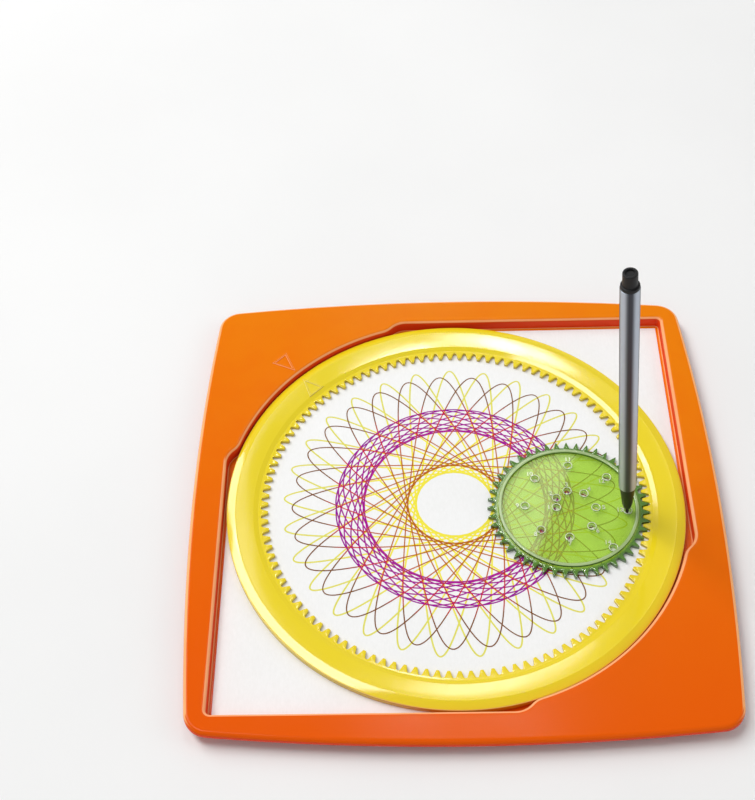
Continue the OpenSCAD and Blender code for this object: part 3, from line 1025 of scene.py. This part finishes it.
def make_drawing():
    yellow = ink("yellow_ink", inner=(0.90, 0.80, 0.06), middle=(0.84, 0.76, 0.08),
                 outer=(0.75, 0.72, 0.12), reach=62)
    make_curve("yellow_line", yellow, arm=25.4, turn=3.1, width=0.64, height=0.008)
    brown = ink("brown_ink", inner=(0.50, 0.13, 0.006), middle=(0.60, 0.025, 0.03),
                outer=(0.20, 0.062, 0.002), reach=62)
    make_curve("brown_line", brown, arm=22.2, turn=7.0, width=0.43, height=0.064)
    purple = ink("purple_ink", inner=(0.48, 0.006, 0.28), middle=(0.38, 0.006, 0.30),
                 outer=(0.24, 0.006, 0.34), reach=60)
    make_curve("purple_line", purple, arm=5.5, turn=2.0, width=0.52, height=0.036)


make_tray()
make_ring()
make_wheel()
make_hole_marks()
make_wheel_lip()
make_pen()
make_drawing()
for node, finish in (("paper_sheet", PAPER_FINISH), ("pen_ink_core", CORE_FINISH)):
    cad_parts[node].data.materials.clear()
    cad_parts[node].data.materials.append(finish)


# Studio, in metres

FLOOR_REACH = 3.0
WORLD_LEVEL = 0.32
HORIZON_LEVEL = 0.34
HORIZON_ENDS = (0.1, 0.5)

# The camera's focal length in pixels of the photograph, its turns about X, Y and Z in degrees, and
# its place, with the height above the paper
PHOTO_H = 800
FOCAL_PIXELS = 1393.4
SENSOR_W = 36.0
CAMERA_TURNS = (-38.238, -1.470, 1.022)
CAMERA_PLACE = (-0.01506, -0.29870, 0.44393)
VIEW_END = 20.0


def make_floor():
    material, start, place = new_finish("pale_floor")
    cloud = place.noise(6.0)
    show(start, shade(start, {
        "Base Color": cloud.between(0.3, 0.7).blend((0.86, 0.86, 0.855), (0.89, 0.89, 0.885)),
        "Roughness": 0.8 + 0.1 * cloud, "Specular IOR Level": 0.2}))
    bm = bmesh.new()
    bmesh.ops.create_grid(bm, x_segments=4, y_segments=4, size=FLOOR_REACH)
    mesh = bpy.data.meshes.new("floor")
    bm.to_mesh(mesh)
    bm.free()
    mesh.materials.append(material)
    floor = bpy.data.objects.new("floor", mesh)
    bpy.context.scene.collection.objects.link(floor)


def panel(name, place, aim, size, level, roll=0.0):
    """A soft light panel. level is its brightness against a white surface."""
    light = bpy.data.lights.new(name, "AREA")
    light.shape = "RECTANGLE"
    light.size, light.size_y = size
    light.energy = level * math.pi * size[0] * size[1]
    obj = bpy.data.objects.new(name, light)
    obj.location = place
    turn = (Vector(aim) - Vector(place)).to_track_quat("-Z", "Y").to_matrix()
    obj.rotation_euler = (turn @ Matrix.Rotation(math.radians(roll), 3, "Z")).to_euler()
    bpy.context.scene.collection.objects.link(obj)


def make_studio():
    make_floor()
    world = bpy.data.worlds.new("studio")
    bpy.context.scene.world = world
    world.use_nodes = True
    world.node_tree.nodes.clear()
    start = Wire(world.node_tree)
    height = start.make("ShaderNodeTexCoord", out="Generated").axes()[2]
    level = WORLD_LEVEL + HORIZON_LEVEL * (1 - height.between(*HORIZON_ENDS))
    light = start.make("ShaderNodeBackground", {}, {"Color": (1, 1, 1, 1), "Strength": level})
    start.make("ShaderNodeOutputWorld", {}, {"Surface": light})
    middle = (0, 0, 0)
    panel("left_panel", (-0.96, 0.40, 1.84), (-0.288, 0.208, 0), (1.52, 0.64), level=7.9, roll=56)
    panel("front_panel", (0.10, -0.85, 1.05), middle, (0.90, 0.50), level=0.4)
    panel("right_panel", (1.15, -0.10, 0.75), middle, (0.60, 0.50), level=1.9)
    panel("far_band_panel", (-0.018, 0.49, 1.15), middle, (0.08, 0.08), level=22.0)
    panel("front_rim_panel", (0.09, 0.44, 1.15), (0.09, 0.44, 0), (0.09, 0.06), level=18.0)
    panel("wheel_panel", (0.085, 0.78, 1.15), (0.04, 0, 0), (0.18, 0.26), level=2.3, roll=-20)
    panel("back_panel", (0.0, 2.40, 2.20), middle, (0.36, 0.24), level=7.0)
    panel("left_bevel_panel", (-0.98, 1.02, 1.15), (-0.2, 0, 0), (0.34, 0.80), level=6.0)


def make_camera():
    data = bpy.data.cameras.new("photo_view")
    data.sensor_width = SENSOR_W
    data.lens = SENSOR_W * FOCAL_PIXELS / PHOTO_H
    data.clip_end = VIEW_END
    camera = bpy.data.objects.new("photo_view", data)
    about_x, about_y, about_z = (math.radians(angle) for angle in CAMERA_TURNS)
    turn = (Matrix.Rotation(about_z, 3, "Z") @ Matrix.Rotation(about_y, 3, "Y")
            @ Matrix.Rotation(about_x, 3, "X"))
    x, y, above_paper = CAMERA_PLACE
    camera.matrix_world = (Matrix.Translation((x, y, above_paper + PAPER_TOP * MM))
                           @ turn.transposed().to_4x4())
    bpy.context.scene.collection.objects.link(camera)
    bpy.context.scene.camera = camera


make_studio()
make_camera()
bpy.context.scene.view_settings.view_transform = "Standard"
